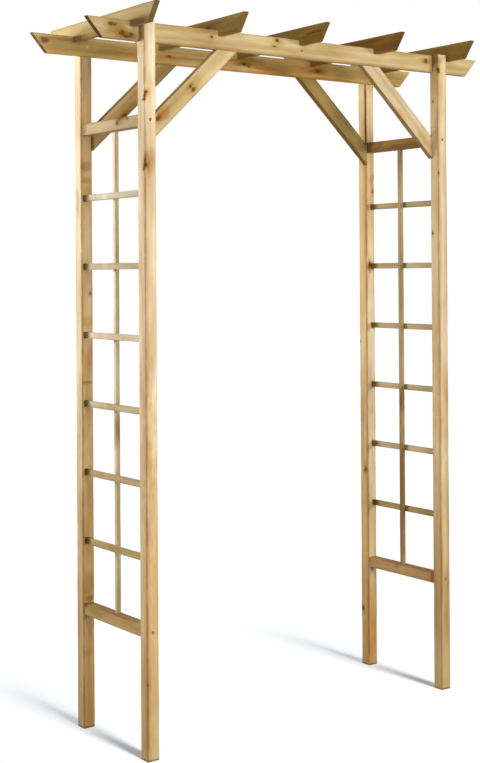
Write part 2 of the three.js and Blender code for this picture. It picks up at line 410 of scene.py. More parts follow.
def seen(screenColour):
    # A colour as it is read off a screen, made linear by the screen's standard curve
    level = np.array(screenColour) / 255
    linear = np.where(level <= 0.04045, level / 12.92, ((level + 0.055) / 1.055) ** 2.4)
    return tuple(linear.tolist())


# Colours and strengths that all the timbers share, unless a timber's own dictionary differs
pine = {
    "summer": (0.80, 0.70, 0.56),  # summer wood, times the spring wood
    "summerShare": 0.34,
    "streak": (0.74, 0.62, 0.47),
    "streakShare": 0.35,
    "cloudy": 0.19,  # change of tone along the timber, up and down
    "band": 0.09,  # change of tone from one group of rings to the next
    "fibre": 0.22,  # change of tone from one fibre to the next
    "warmth": (1.5, 2.1),  # green and blue follow the change of tone by these powers
    "knotCore": (122, 84, 42),
    "knotRim": (52, 32, 12),
    "knotRays": (0.25, 0.4),  # share of the rim's colour in the core: its swing and its mean
    "knotRimShare": 0.8,
    "knotHalo": (0.66, 0.54, 0.30),
    "endGrainAndPaintedLight": (0.37, 0.34, 0.24),
    "endFacing": (0.45, 0.75),  # a face that looks along the grain by more than this is a cut
    # Wear and painted shade: the arrises are darkened both as rubbed wood and as shade on their
    # rounded faces.
    "wearAndShade": (0.46, 0.33, 0.18),  # along the arrises
    "wearAndShadeShare": 0.62,
    "damp": (0.86, 0.93, 0.74),
    "dampShare": 0.35,
    "dust": (0.16, 0.92),  # swing and least of its factor
    "ringWidth": 3.4 * mm,
    "wander": 7 * mm,
    "pith": (0.055, 0.03),  # from the timber's middle, across its width and its thickness
    "rough": (0.62, 0.80),
    "summerShine": 0.08,
    "specular": 0.14,
    "relief": {"Fibre": 0.30, "Summer": 0.22, "Pores": -0.25, "Core": 0.8, "Rim": -0.9},
    "reliefHeight": 0.16 * mm,
    "reliefStrength": 0.8,
    "seedStep": (0.731, 1.37),  # a timber's place in the noise is its seed times, plus
}


def pineMaterial(name, timber):
    look = {**pine, **timber.get("look", {})}
    material, tree, surface = newMaterial(name)
    source = tree.nodes.new("ShaderNodeTexCoord")
    mapping = tree.nodes.new("ShaderNodeMapping")
    mapping.vector_type = "TEXTURE"
    put(mapping.inputs["Vector"], source.outputs["Object"])
    mapping.inputs["Location"].default_value = timber["middle"]
    mapping.inputs["Rotation"].default_value = timber["axes"].to_euler()
    place = mapping.outputs[0]
    step, start = look["seedStep"]
    seed = timber["seed"] * step + start

    def marks(group, spot, reach, strength):
        # A knot or a zone of this timber, whose spot is given in the arch's axes
        centre = tuple(timber["axes"].transposed() @ (Vector(spot) - Vector(timber["middle"])))
        return useGroup(tree, group, Place=place, Centre=centre, Reach=reach, Strength=strength)

    knots = [marks(knotGroup, *knot) for knot in timber.get("knots", [])]
    bend = 0.0
    for knot in knots:
        bend = plus(tree, bend, knot["Bend"])
    rings = useGroup(
        tree, ringGroup, Place=place, Pith=(0.0, *look["pith"]), Width=look["ringWidth"],
        Wander=look["wander"], Bend=bend, Seed=seed,
    )
    figure = useGroup(tree, figureGroup, Place=place, Seed=seed)
    arris = tree.nodes.new("ShaderNodeAttribute")
    arris.attribute_name = "arris"
    weather = useGroup(
        tree, weatherGroup, Object=source.outputs["Object"], Arris=arris.outputs["Fac"], Seed=seed,
    )
    facing = parts(tree, turnedInto(tree, source.outputs["Normal"], timber["axes"]))[0]
    cut = ramp(tree, calc(tree, "ABSOLUTE", facing), *look["endFacing"])

    # Colour: summer wood, tone, streaks, zones (some of them painted shade), knots, end grain
    # (painted shade on the beams' cuts and painted light on the braces'), wear with painted shade
    # on the arrises, damp and dust
    spring, knotCore, knotRim = (seen(look[key]) for key in ("tone", "knotCore", "knotRim"))
    summer = tuple(np.multiply(spring, look["summer"]).tolist())
    wood = mixColour(tree, times(tree, rings["Summer"], look["summerShare"]), spring, summer)
    level = swing(tree, figure["Cloudy"], look["cloudy"] * noiseGain)
    level = plus(tree, level, swing(tree, rings["Band"], look["band"] * noiseGain))
    level = plus(tree, plus(tree, level, 1.0), swing(tree, figure["Fibre"], look["fibre"]))
    green, blue = (calc(tree, "POWER", level, power) for power in look["warmth"])
    wood = tint(tree, wood, joined(tree, level, green, blue))
    wood = tint(tree, wood, look["streak"], times(tree, figure["Streak"], look["streakShare"]))
    for spot, reach, factors, strength in timber.get("zones", []):
        wood = tint(tree, wood, factors, marks(zoneGroup, spot, reach, strength)["Mask"])
    for knot in knots:
        wood = tint(tree, wood, look["knotHalo"], knot["Halo"])
        rays = calc(tree, "MULTIPLY_ADD", knot["Rays"], *look["knotRays"])
        wood = mixColour(tree, knot["Core"], wood, mixColour(tree, rays, knotCore, knotRim))
        wood = mixColour(tree, times(tree, knot["Rim"], look["knotRimShare"]), wood, knotRim)
    wood = tint(tree, wood, look["endGrainAndPaintedLight"], cut)
    wood = tint(tree, wood, look["wearAndShade"], times(tree, weather["WearAndShade"], look["wearAndShadeShare"]))
    wood = tint(tree, wood, look["damp"], times(tree, weather["Damp"], look["dampShare"]))
    dust = calc(tree, "MULTIPLY_ADD", weather["Dust"], *look["dust"])
    put(surface.inputs["Base Color"], tint(tree, wood, joined(tree, dust, dust, dust)))

    low, high = look["rough"]
    shine = calc(tree, "MULTIPLY_ADD", figure["Fibre"], high - low, low)
    shine = calc(tree, "SUBTRACT", shine, times(tree, rings["Summer"], look["summerShine"]))
    put(surface.inputs["Roughness"], calc(tree, "MAXIMUM", shine, cut))
    surface.inputs["Specular IOR Level"].default_value = look["specular"]

    relief = look["relief"]
    height = times(tree, figure["Fibre"], relief["Fibre"])
    layers = [(rings["Summer"], "Summer"), (figure["Pores"], "Pores")]
    layers += [(knot[part], part) for knot in knots for part in ("Core", "Rim")]
    for layer, part in layers:
        height = plus(tree, height, times(tree, layer, relief[part]))
    addBump(tree, surface, height, look["reliefHeight"], look["reliefStrength"])
    return material


# Timber shapes
grid = {
    "step": 9 * mm,  # between rings along a timber
    "sideStep": 5 * mm,  # between points across it
    "arcSteps": 4,  # round an arris
    "fine": 0.7 * mm,  # across a timber near a screw
    "fineReach": 7 * mm,
    "fineAlong": 1.6,  # times as much along it
    "endRound": 0.7 * mm,  # at the rim of a cut
    "nearEnds": (0.0, 0.4, 1.0, 2.0, 4.0, 7.0),  # mm from the round to the first rings
    "capRings": (0.0, 0.3, 0.6, 0.85),  # rings on a cut, as shares of the outline
    "roundInset": 2.0,  # a cut's flat is smaller than the outline by this, times endRound,
    "roundMiddle": (0.6, 0.3),  # and half way round it is smaller and further in by these
    "sharpest": 34,  # degrees between faces that still look smooth
}
planing = {  # how far the planed faces stray
    "waves": 5,
    "waveStep": (1.9, 0.6),  # each wave is shorter and lower than the last by these factors,
    "waveStray": (0.8, 1.25),  # and its length strays by these
    "arris": (0.38, 0.31, 1.4),  # change of an arris's radius: height, longest wave, most
    "sway": (0.16 * mm, 0.55, 1.15),  # of a face: height, longest wave, heights that it lies in
    "swayThin": 0.7,  # times as much on the wide faces
    "flutter": (0.06 * mm, 0.12, 3, 3),  # round the timber: height, longest wave, waves, lobes
}
# How strongly the arrises and the rims of the cuts darken, as wear and as painted shade
edgeDarkening = {
    "arrises": (0.4, 0.4, 0.4, 0.4),  # unless a timber's own edges differ
    "arrisReach": 1.3 * mm,
    "end": 0.7,  # at the rim of a cut
    "endReach": 1.2 * mm,
    "cut": 0.05,
}
screwHole = {
    "radius": 4.5 * mm,
    "lip": 1.1 * mm,  # width of the crushed wood round it
    "depth": 2.2 * mm,
    "dish": 0.35 * mm,  # depth of the crushed wood at the hole
    "reach": 14 * mm,  # points further out than this belong to other faces
}
fineSteps = np.arange(-grid["fineReach"], grid["fineReach"] + 1e-9, grid["fine"])


def waves(along, seed, longest, count=planing["waves"]):
    # Half the sum of sine waves that start anywhere, each about half as long and half as high as
    # the one before
    dice = np.random.default_rng(seed)
    shorter, lower = planing["waveStep"]
    total = np.zeros_like(along)
    for order in range(count):
        length = longest / shorter**order * dice.uniform(*planing["waveStray"])
        total += lower**order * np.sin(2 * np.pi * (along / length + dice.uniform()))
    return total / 2


def roundedProfile(size, extra):
    # Corner arcs and straight sides as factors: a point is factor * (half size - radius) along
    # each axis plus radius * normal. It lies between two corners, at a share of the way
    signs = np.array([(1, 1), (-1, 1), (-1, -1), (1, -1)], float)
    arc = np.linspace(0, np.pi / 2, grid["arcSteps"] + 1)
    factors, normals, corners = [], [], []
    for corner, sign in enumerate(signs):
        following = (corner + 1) % 4
        angles = corner * np.pi / 2 + arc
        factors.append(np.tile(sign, (len(arc), 1)))
        normals.append(np.stack([np.cos(angles), np.sin(angles)], axis=1))
        corners.append([np.full(len(arc), corner), np.full(len(arc), corner), np.zeros(len(arc))])
        way = (signs[following] - sign) / 2
        axis = int(np.argmax(np.abs(way)))
        steps = max(3, int(round(size[axis] / grid["sideStep"])) + 1)
        spots = np.concatenate([np.linspace(-1, 1, steps), extra[axis]])
        spots = np.unique(np.round(spots, 5))  # in order, each place once
        spots = spots[(spots > -1) & (spots < 1)][::int(way[axis])]
        flat, outward = np.tile(sign, (2, len(spots), 1))
        flat[:, axis] = spots
        outward[:, axis] = 0
        factors.append(flat)
        normals.append(outward)
        share = (spots * way[axis] + 1) / 2
        corners.append([np.full(len(spots), corner), np.full(len(spots), following), share])
    first, second, share = np.concatenate(corners, axis=1)
    numbers = (first.astype(int), second.astype(int))
    return np.concatenate(factors), np.concatenate(normals), *numbers, share


def ringPlaces(length, screwPlaces):
    # Even steps along the timber, and closer ones at both ends and round the screws
    even = np.linspace(0, length, max(4, int(length / grid["step"])))
    near = np.array(grid["nearEnds"]) * mm + grid["endRound"]
    groups = [even[(even > grid["step"]) & (even < length - grid["step"])], near, length - near]
    groups += [place + fineSteps * grid["fineAlong"] for place in screwPlaces]
    places = np.unique(np.round(np.concatenate(groups), 6))  # in order, each micrometre once
    return places[(places >= near[0]) & (places <= length - near[0])]


def sinkScrew(points, head, aim):
    # Points inside the hole move along the aim to its floor, and the lip round it dips less and
    # less as the distance from its axis grows
    head, aim = np.array(head), np.array(aim)
    reach = points - head
    depth = reach @ aim
    away = np.linalg.norm(reach - depth[..., None] * aim, axis=-1)
    onFace = (depth > -screwHole["reach"]) & (depth < screwHole["depth"])
    inside = onFace & (away < screwHole["radius"])
    lip = onFace & ~inside & (away < screwHole["radius"] + screwHole["lip"])
    fall = 1 - (away - screwHole["radius"]) / screwHole["lip"]
    push = np.where(inside, screwHole["depth"] - depth, 0)
    push += np.where(lip, screwHole["dish"] * fall, 0)
    return points + push[..., None] * aim


def timberMesh(name, timber):
    # A rounded rectangle (v, w) is carried along the timber (u). At a share s of the length, its
    # ring leans along the grain by ((1 - s) * first cut's slope + s * last cut's slope) * v. A
    # screw is its head's middle, its aim, and 0 or 1 where its face runs across v or across w
    size, length, arris = np.array(timber["size"]), timber["length"], timber["arris"]
    axes, middle = np.array(timber["axes"]), np.array(timber["middle"])
    screws = timber.get("screws", [])
    extra, screwPlaces = ([], []), []
    for head, _aim, across in screws:
        spot = axes.T @ (np.array(head) - middle)
        screwPlaces.append(spot[0] + length / 2)
        spots = (spot[1 + across] + fineSteps) / (size[across] / 2 - arris)
        extra[across].extend(spots[np.abs(spots) < 1])
    factors, normals, first, second, share = roundedProfile(size, extra)
    places = ringPlaces(length, screwPlaces)
    housing = timber.get("housing")
    if housing:  # two rings at its level, for the step
        stepRing = np.searchsorted(places, housing["along"])
        places = np.insert(places, stepRing, [housing["along"]] * 2)

    seed = timber["seed"] * 10  # each timber has ten of its own
    swaySeed, flutterSeed = seed + 7, seed + 8
    height, longest, most = planing["arris"]
    radii = np.stack([
        arris * (1 + height * np.clip(waves(places, seed + corner, longest), -most, most))
        for corner in range(4)
    ], axis=1)
    radius = (radii[:, first] * (1 - share) + radii[:, second] * share)[..., None]
    outline = factors * (size / 2 - radius) + radius * normals
    height, longest, inset = planing["sway"]
    sway = (waves(places, swaySeed, longest)[:, None, None] - inset) * height
    height, longest, count, lobes = planing["flutter"]
    angle = np.arctan2(outline[..., 1], outline[..., 0])
    flutter = waves(places, flutterSeed, longest, count)[:, None]
    flutter = flutter * np.cos(lobes * angle + timber["seed"])
    flutter = ((flutter - 1) * height)[..., None]
    outline = outline + normals * (sway * (1, planing["swayThin"]) + flutter)

    # Cuts: the outline shrinks to the middle, with a small round at the rim
    sizeLoss, along = grid["roundMiddle"]
    rounds = [1 - grid["endRound"] * loss / size for loss in (grid["roundInset"], sizeLoss)]
    shrink = np.array([(ring, ring) for ring in grid["capRings"]] + rounds)[:, None]
    capPlaces = np.zeros(len(shrink))
    capPlaces[-1] = grid["endRound"] * along
    outline = np.concatenate([outline[0] * shrink, outline, (outline[-1] * shrink)[::-1]])
    u = np.concatenate([capPlaces, places, length - capPlaces[::-1]])[:, None]
    startSlope, endSlope = timber.get("cuts", (0, 0))
    s = u / length
    lean = ((1 - s) * startSlope + s * endSlope) * outline[..., 0]
    grain = (u - length / 2 + lean)[..., None]
    points = np.concatenate([grain, outline], axis=-1) @ axes.T + middle

    if housing:  # above the step only the tongue is left, from the post's outer face inwards
        tongue = points[len(shrink) + stepRing + 1:]
        tongue[..., 1] = housing["outer"] + (tongue[..., 1] - housing["outer"]) * housing["left"]
    for head, aim, _across in screws:
        points = sinkScrew(points, head, aim)

    # Darkness of the arrises and the rims of the cuts, as wear and as painted shade
    fromArris = ((1 - np.abs(factors)) * size / 2).sum(axis=1)
    weights = np.array(timber.get("edges", edgeDarkening["arrises"]))
    weights = weights[first] * (1 - share) + weights[second] * share
    edgeDarkness = weights * np.exp(-fromArris / edgeDarkening["arrisReach"])
    fromEnd = np.minimum(u, length - u)
    edgeDarkness = np.maximum(edgeDarkness, edgeDarkening["end"] * np.exp(-fromEnd / edgeDarkening["endReach"]))
    caps = len(grid["capRings"])
    edgeDarkness[:caps] = edgeDarkness[-caps:] = edgeDarkening["cut"]
    return skinned(name, points, edgeDarkness)


def skinned(name, points, edgeDarkness):
    # Quads between the rings. The first and last rings are one point each, so theirs are triangles
    rings, columns = points.shape[:2]
    index = np.arange(rings * columns).reshape(rings, columns)
    after = np.roll(index, -1, axis=1)
    quads = np.stack([index[:-1], after[:-1], after[1:], index[1:]], axis=-1)[1:-1].reshape(-1, 4)
    last = index[-1, 0]
    startFan = np.stack([np.zeros(columns, int), after[1], index[1]], axis=-1)
    endFan = np.stack([np.full(columns, last), index[-2], after[-2]], axis=-1)
    keep = np.ones(rings * columns, bool)
    keep[1:columns] = keep[last + 1:] = False
    renumber = np.cumsum(keep) - 1
    faceSets = [renumber[faces] for faces in (quads, startFan, endFan)]
    mesh = bpy.data.meshes.new(name)
    fillMesh(mesh, points.reshape(-1, 3)[keep], faceSets)
    layer = mesh.attributes.new("arris", "FLOAT", "POINT")
    layer.data.foreach_set("value", edgeDarkness.reshape(-1)[keep].astype(np.float32))
    return mesh


def fillMesh(mesh, points, faceSets):
    # All corners in one row, and for each face the place where its corners start
    sizes = np.concatenate([np.full(len(faces), faces.shape[1]) for faces in faceSets])
    cornersInRow = np.concatenate([faces.reshape(-1) for faces in faceSets])
    mesh.vertices.add(len(points))
    mesh.vertices.foreach_set("co", np.asarray(points, np.float32).reshape(-1))
    mesh.loops.add(len(cornersInRow))
    mesh.loops.foreach_set("vertex_index", cornersInRow.astype(np.int32))
    mesh.polygons.add(len(sizes))
    mesh.polygons.foreach_set("loop_start", (np.cumsum(sizes) - sizes).astype(np.int32))
    mesh.update(calc_edges=True)
    mesh.validate()
    mesh.polygons.foreach_set("use_smooth", np.ones(len(mesh.polygons), bool))
    mesh.set_sharp_from_angle(angle=radians(grid["sharpest"]))


def axesOf(along, across):
    # Columns: along the grain, across the width, across the thickness
    first = Vector(along).normalized()
    second = Vector(across)
    second = (second - first * second.dot(first)).normalized()
    return Matrix((first, second, first.cross(second))).transposed()


# Spring wood: one tone for each timber, set from the median colour of its faces in the photo. The
# tones of rafter_2 to rafter_5 are partly painted shade: they are darkened for the shade on their
# side faces.
tones = {
    "rear_left_post": (227, 204, 161),
    "front_left_post": (238, 213, 172),
    "rear_right_post": (230, 209, 169),
    "front_right_post": (225, 202, 161),
    "front_beam": (203, 176, 126),
    "rear_beam": (240, 203, 132),
    "rafter_1": (196, 170, 117),
    "rafter_2": (199, 166, 97),
    "rafter_3": (181, 146, 73),
    "rafter_4": (163, 122, 55),
    "rafter_5": (179, 139, 72),
    "left_slat_1": (211, 200, 172),
    "left_slat_2": (200, 183, 147),
    "left_slat_3": (223, 203, 169),
    "left_slat_4": (212, 199, 157),
    "left_slat_5": (200, 174, 130),
    "left_slat_6": (199, 175, 121),
    "right_slat_1": (175, 148, 101),
    "right_slat_2": (197, 181, 135),
    "right_slat_3": (195, 170, 126),
    "right_slat_4": (200, 180, 138),
    "right_slat_5": (198, 179, 134),
    "right_slat_6": (171, 138, 86),
    "left_lath": (234, 216, 177),
    "right_lath": (177, 154, 112),
    "left_top_rail": (186, 160, 117),
    "left_bottom_rail": (203, 174, 121),
    "right_top_rail": (154, 116, 59),
    "right_bottom_rail": (192, 152, 99),
    "front_left_brace": (208, 180, 127),
    "front_right_brace": (210, 187, 145),
    "rear_left_brace": (189, 158, 104),
    "rear_right_brace": (173, 145, 87),
}


def addTimber(node, timber):
    timber["look"] = {"tone": tones[node], **timber.get("look", {})}
    mesh = timberMesh(node, timber)
    piece = bpy.data.objects.new(node + "_timber", mesh)
    scene.collection.objects.link(piece)
    mesh.materials.append(pineMaterial(node + "_pine", timber))
    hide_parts(node)
    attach(piece, "root")


# The arch's own lengths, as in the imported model
arch = {
    "postX": 0.562,
    "postY": 0.18,
    "postSide": 0.038,
    "postHeight": 2.068,
    "housingLevel": 2.0107,
    "tongue": 0.028,
    "beamFaces": (0.1527, 0.1707),
    "beamLevels": (2.011, 2.068),
    "beamEnds": (0.697, 0.747),  # at the bottom and at the top
    "rafterX": (-0.6, -0.3, 0.0, 0.3, 0.6),
    "rafterLevels": (2.05, 2.104),
    "rafterEnds": (0.2615, 0.3005),
    "boardThickness": 0.018,
    "braceWidth": 0.052,
    "braceFoot": (0.5427, 1.7287),
    "braceHead": (0.2407, 2.0107),
    "railLevels": {"bottom": 0.357, "top": 1.790},
    "railSize": (0.035, 0.032),
    "railHalf": 0.1607,
    "slatX": 0.569,
    "slatSize": (0.019, 0.012),
    "slatCount": 6,
    "slatHalf": 0.171,
    "slatPitch": 1.433 / 7,
    "lathX": 0.5567,
    "lathSize": (0.016, 0.012),
    "lathTenon": 6 * mm,
    "postArris": 3 * mm,
    "boardArris": 2 * mm,
    "railArris": 2 * mm,
    "latticeArris": 1.5 * mm,
    "braceScrew": (0.505, 1.7717),
}
sides = {"left": -1, "right": 1}
ends = {"front": -1, "rear": 1}
beamMiddle = sum(arch["beamFaces"]) / 2


def placed(look, face=None):
    # The same look with its marks in metres. Marks at (x, z) are put on the face at that y
    def mark(spot, reach, *rest):
        spot = [length * mm for length in spot]
        if face is not None:
            spot.insert(1, face)
        return (spot, [length * mm for length in reach], *rest)

    kinds = ("knots", "zones")
    return {**look, **{kind: [mark(*entry) for entry in look.get(kind, [])] for kind in kinds}}


# Posts. A knot is its place and its half size along the grain, the width and the thickness, in mm,
# and its strength. A zone is its place and its reach, the factors of its colour and its strength.
# Edges are how much the four long arrises darken, as wear and as painted shade
posts = {
    "front_left_post": {
        "seed": 11,
        "edges": (0.3, 0.3, 1.0, 0.3),
        "knots": [
            ((-574, -199, 1866), (5, 7, 6), 0.9),
            ((-579, -198, 1855), (5, 4, 6), 0.9),
            ((-581, -194, 1846), (4, 5, 8), 0.9),
            ((-579, -198, 1675), (4, 3, 6), 0.9),
            ((-578, -198, 1662), (4, 7, 6), 1.0),
            ((-581, -192, 1651), (5, 4, 6), 0.9),
            ((-581, -199, 214), (6, 5, 5), 0.5),
        ],
        "zones": [
            ((-562, -199, 1672), (46, 24, 20), (0.78, 0.66, 0.46), 0.9),
            ((-575, -199, 1668), (30, 12, 20), (0.7, 0.58, 0.42), 0.85),
            ((-566, -199, 1872), (60, 14, 20), (0.9, 0.78, 0.56), 0.7),
            ((-572, -199, 900), (500, 6, 10), (0.86, 0.8, 0.7), 0.5),
            # Partly a stain and partly a painted shadow of the rafter above, on the top of the -X
            # face
            ((-581, -180, 2048), (50, 40, 10), (0.6, 0.48, 0.32), 0.85),
            # Painted shade: the lower part of the -Y face is darker
            ((-562, -199, 420), (600, 50, 20), (0.9, 0.8, 0.66), 0.9),
        ],
    },
    "front_right_post": {
        "seed": 12,
        "edges": (0.3, 0.3, 0.85, 0.3),
        "knots": [
            ((546, -198, 2016), (8, 7, 8), 1.0),
            ((543, -176, 1915), (4, 4, 4), 0.8),
            ((543, -170, 1485), (5, 4, 4), 0.9),
            ((543.5, -198.5, 1680), (5, 4, 4), 0.9),
        ],
        "zones": [
            ((543, -182, 2050), (24, 30, 30), (0.46, 0.33, 0.18), 0.9),
            ((562, -199, 1950), (160, 50, 50), (0.92, 0.86, 0.72), 0.8),
            ((571, -199, 360), (60, 6, 10), (0.7, 0.55, 0.4), 0.6),
            # Painted shade: the whole -X face is slightly darker and warmer
            ((543, -180, 1000), (2600, 6, 60), (0.98, 0.92, 0.82), 1.0),
        ],
    },
    "rear_left_post": {
        "seed": 13,
        "edges": (0.3, 0.6, 0.9, 0.3),
        "knots": [((-552, 161, 1300), (5, 5, 6), 0.7)],
        "zones": [
            ((-562, 161, 1681), (20, 30, 10), (0.72, 0.59, 0.42), 0.9),
            ((-560, 161, 1639), (12, 30, 10), (0.76, 0.64, 0.48), 0.8),
            ((-556, 161, 1605), (26, 20, 10), (0.8, 0.68, 0.5), 0.8),
            ((-581, 182, 1575), (50, 10, 12), (0.74, 0.62, 0.46), 0.8),
            ((-560, 161, 1215), (24, 30, 10), (0.8, 0.7, 0.54), 0.8),
            ((-560, 161, 1105), (40, 30, 10), (0.86, 0.78, 0.64), 0.7),
            ((-560, 161, 1033), (6, 30, 10), (0.62, 0.46, 0.3), 0.8),
            ((-560, 161, 430), (50, 30, 10), (0.74, 0.62, 0.46), 0.8),
            ((-560, 161, 386), (12, 20, 10), (0.6, 0.44, 0.28), 0.85),
            ((-560, 161, 226), (18, 30, 10), (0.78, 0.68, 0.52), 0.6),
            ((-562, 161, 100), (160, 50, 8), (0.92, 0.86, 0.72), 0.8),
            # Painted shade: the whole -Y face is darker and warmer
            ((-562, 161, 1000), (2600, 60, 6), (0.92, 0.82, 0.68), 1.0),
        ],
    },
    "rear_right_post": {
        "seed": 14,
        "edges": (0.3, 0.3, 1.0, 0.3),
        "knots": [
            ((575, 161, 1640), (7, 6, 6), 0.9),
            ((578, 161, 1690), (7, 3, 5), 0.9),
            ((558, 161, 1386), (10, 5, 6), 1.0),
            ((543, 173, 675), (10, 6, 9), 0.8),
            ((543, 196, 1118), (5, 5, 5), 0.9),
            ((543, 192, 193), (9, 6, 8), 1.0),
        ],
        "zones": [
            ((544.5, 162.5, 1890), (150, 5, 5), (0.34, 0.23, 0.14), 0.9),
            ((562, 161, 1750), (550, 50, 14), (0.9, 0.78, 0.62), 0.9),
            ((566, 161, 1676), (30, 10, 10), (0.8, 0.52, 0.36), 0.6),
            ((563, 161, 1378), (26, 18, 10), (0.74, 0.44, 0.26), 0.8),
            ((560, 170, 100), (160, 40, 40), (0.84, 0.72, 0.52), 0.6),
            ((562, 161, 120), (170, 50, 8), (1.08, 0.88, 0.6), 0.85),
            # Painted shade: the whole -X face is darker and warmer
            ((543, 180, 1000), (2600, 6, 60), (0.95, 0.8, 0.62), 1.0),
        ],
    },
}
# Painted shade at the posts' feet: the posts grow darker towards the ground, and a painted contact
# shadow darkens their lowest few millimetres.
footShade = [  # reach in metres, factors and strength
    ((1.1, 0.2, 0.2), (0.84, 0.75, 0.6), 1.0),
    ((0.007, 0.1, 0.1), (0.42, 0.32, 0.2), 0.9),
]
for end, endSign in ends.items():
    for side, sideSign in sides.items():
        node = f"{end}_{side}_post"
        x, y = sideSign * arch["postX"], endSign * arch["postY"]
        outer = y + endSign * arch["postSide"] / 2
        timber = {
            "size": (arch["postSide"], arch["postSide"]),
            "length": arch["postHeight"],
            "middle": (x, y, arch["postHeight"] / 2),
            "axes": axesOf((0, 0, 1), (1, 0, 0)),
            "arris": arch["postArris"],
            "housing": {
                "along": arch["housingLevel"],
                "outer": outer,
                "left": arch["tongue"] / arch["postSide"],
            },
            "screws": [
                ((x, outer, level), (0, -endSign, 0), 0) for level in arch["railLevels"].values()
            ],
            **placed(posts[node]),
        }
        timber["zones"] = [((x, y, 0), *stain) for stain in footShade] + timber["zones"]
        addTimber(node, timber)
print("posts ready")


def slantedBoard(levels, reaches, place, along):
    # A board on edge that reaches further at its upper level than at its lower one
    low, high = levels
    shortEnd, longEnd = reaches
    slope = (longEnd - shortEnd) / (high - low)
    return {
        "size": (high - low, arch["boardThickness"]),
        "length": shortEnd + longEnd,
        "middle": (*place, (low + high) / 2),
        "axes": axesOf(along, (0, 0, 1)),
        "arris": arch["boardArris"],
        "cuts": (-slope, slope),
    }


# Beams. Their marks are at (x, z) on the front face, and so are the braces'
beams = {
    "front_beam": {
        "seed": 21,
        # Painted shade: the beam's cuts are far darker than other end grain, standing in for the
        # shade on these downward-facing ends.
        "look": {"endGrainAndPaintedLight": (0.15, 0.1, 0.045)},
        "knots": [
            ((-668, 2052), (13, 6, 12), 0.85),
            ((-636, 2030), (10, 8, 12), 0.8),
            ((-622, 2020), (9, 6, 12), 0.8),
            ((-606, 2026), (7, 9, 10), 0.9),
            ((-332, 2047), (4, 4, 6), 1.0),
            ((-91, 2058), (7, 6, 10), 0.9),
            ((-102, 2039), (4, 3, 6), 0.8),
            ((2, 2035), (3, 3, 5), 0.7),
            ((517, 2047), (9, 9, 12), 0.85),
        ],
        "zones": [
            ((-650, 2040), (50, 22, 10), (0.68, 0.58, 0.38), 0.8),
            ((-350, 2060), (60, 12, 10), (0.84, 0.76, 0.52), 0.6),
            ((-95, 2050), (40, 18, 10), (0.8, 0.66, 0.42), 0.6),
            ((0, 2015), (700, 6, 20), (0.8, 0.7, 0.46), 0.5),
        ],
    },
    "rear_beam": {
        "seed": 22,
        # Painted shade: the beam's cuts are far darker than other end grain, standing in for the
        # shade on these downward-facing ends.
        "look": {"endGrainAndPaintedLight": (0.17, 0.17, 0.15)},
        "knots": [
            ((-270, 2036), (6, 5, 10), 0.6),
            ((20, 2037), (10, 6, 10), 0.9),
            ((38, 2030), (6, 4, 10), 0.9),
            ((325, 2038), (8, 7, 10), 0.8),
        ],
        "zones": [
            ((250, 2040), (360, 60, 20), (0.9, 0.78, 0.6), 0.7),
            ((200, 2013), (600, 6, 20), (0.86, 0.6, 0.38), 0.8),
            ((-707, 2048), (20, 12, 10), (0.36, 0.24, 0.14), 0.9),
            ((-620, 2056), (100, 8, 10), (0.66, 0.5, 0.33), 0.8),
            ((-400, 2035), (140, 14, 10), (1.04, 0.86, 0.74), 0.8),
            ((30, 2046), (100, 18, 10), (0.62, 0.42, 0.22), 0.85),
            ((100, 2028), (60, 8, 10), (0.9, 0.46, 0.26), 0.8),
            ((320, 2038), (70, 16, 10), (0.66, 0.42, 0.22), 0.8),
            ((-210, 2036), (120, 7, 10), (0.94, 0.62, 0.38), 0.8),
            ((650, 2040), (100, 8, 10), (0.7, 0.5, 0.26), 0.6),
        ],
    },
}
frontFaces = {"front": -arch["beamFaces"][1], "rear": arch["beamFaces"][0]}
for end, endSign in ends.items():
    node = f"{end}_beam"
    place = (0, endSign * beamMiddle)
    board = slantedBoard(arch["beamLevels"], arch["beamEnds"], place, (1, 0, 0))
    addTimber(node, {**board, **placed(beams[node], frontFaces[end])})
print("beams ready")

# Rafters
rafters = {
    # rafter_1's zone is a painted shadow of the rear beam on the lower middle of its -X face
    "rafter_1": {"seed": 31, "zones": [((-609, 20, 2056), (120, 12, 10), (0.62, 0.52, 0.34), 0.6)]},
    "rafter_2": {"seed": 32, "knots": [((-309, -120, 2080), (8, 6, 12), 0.8)]},
    "rafter_3": {"seed": 33, "zones": [((-9, -245, 2081), (60, 5, 10), (0.42, 0.3, 0.18), 0.8)]},
    "rafter_4": {"seed": 34},
    "rafter_5": {"seed": 35, "knots": [((591, -50, 2085), (7, 6, 12), 0.8)]},
}
for place, x in enumerate(arch["rafterX"], 1):
    node = f"rafter_{place}"
    board = slantedBoard(arch["rafterLevels"], arch["rafterEnds"], (x, 0), (0, 1, 0))
    top = arch["rafterLevels"][1]
    board["screws"] = [((x, sign * beamMiddle, top), (0, 0, -1), 1) for sign in ends.values()]
    addTimber(node, {**board, **placed(rafters[node])})
print("rafters ready")

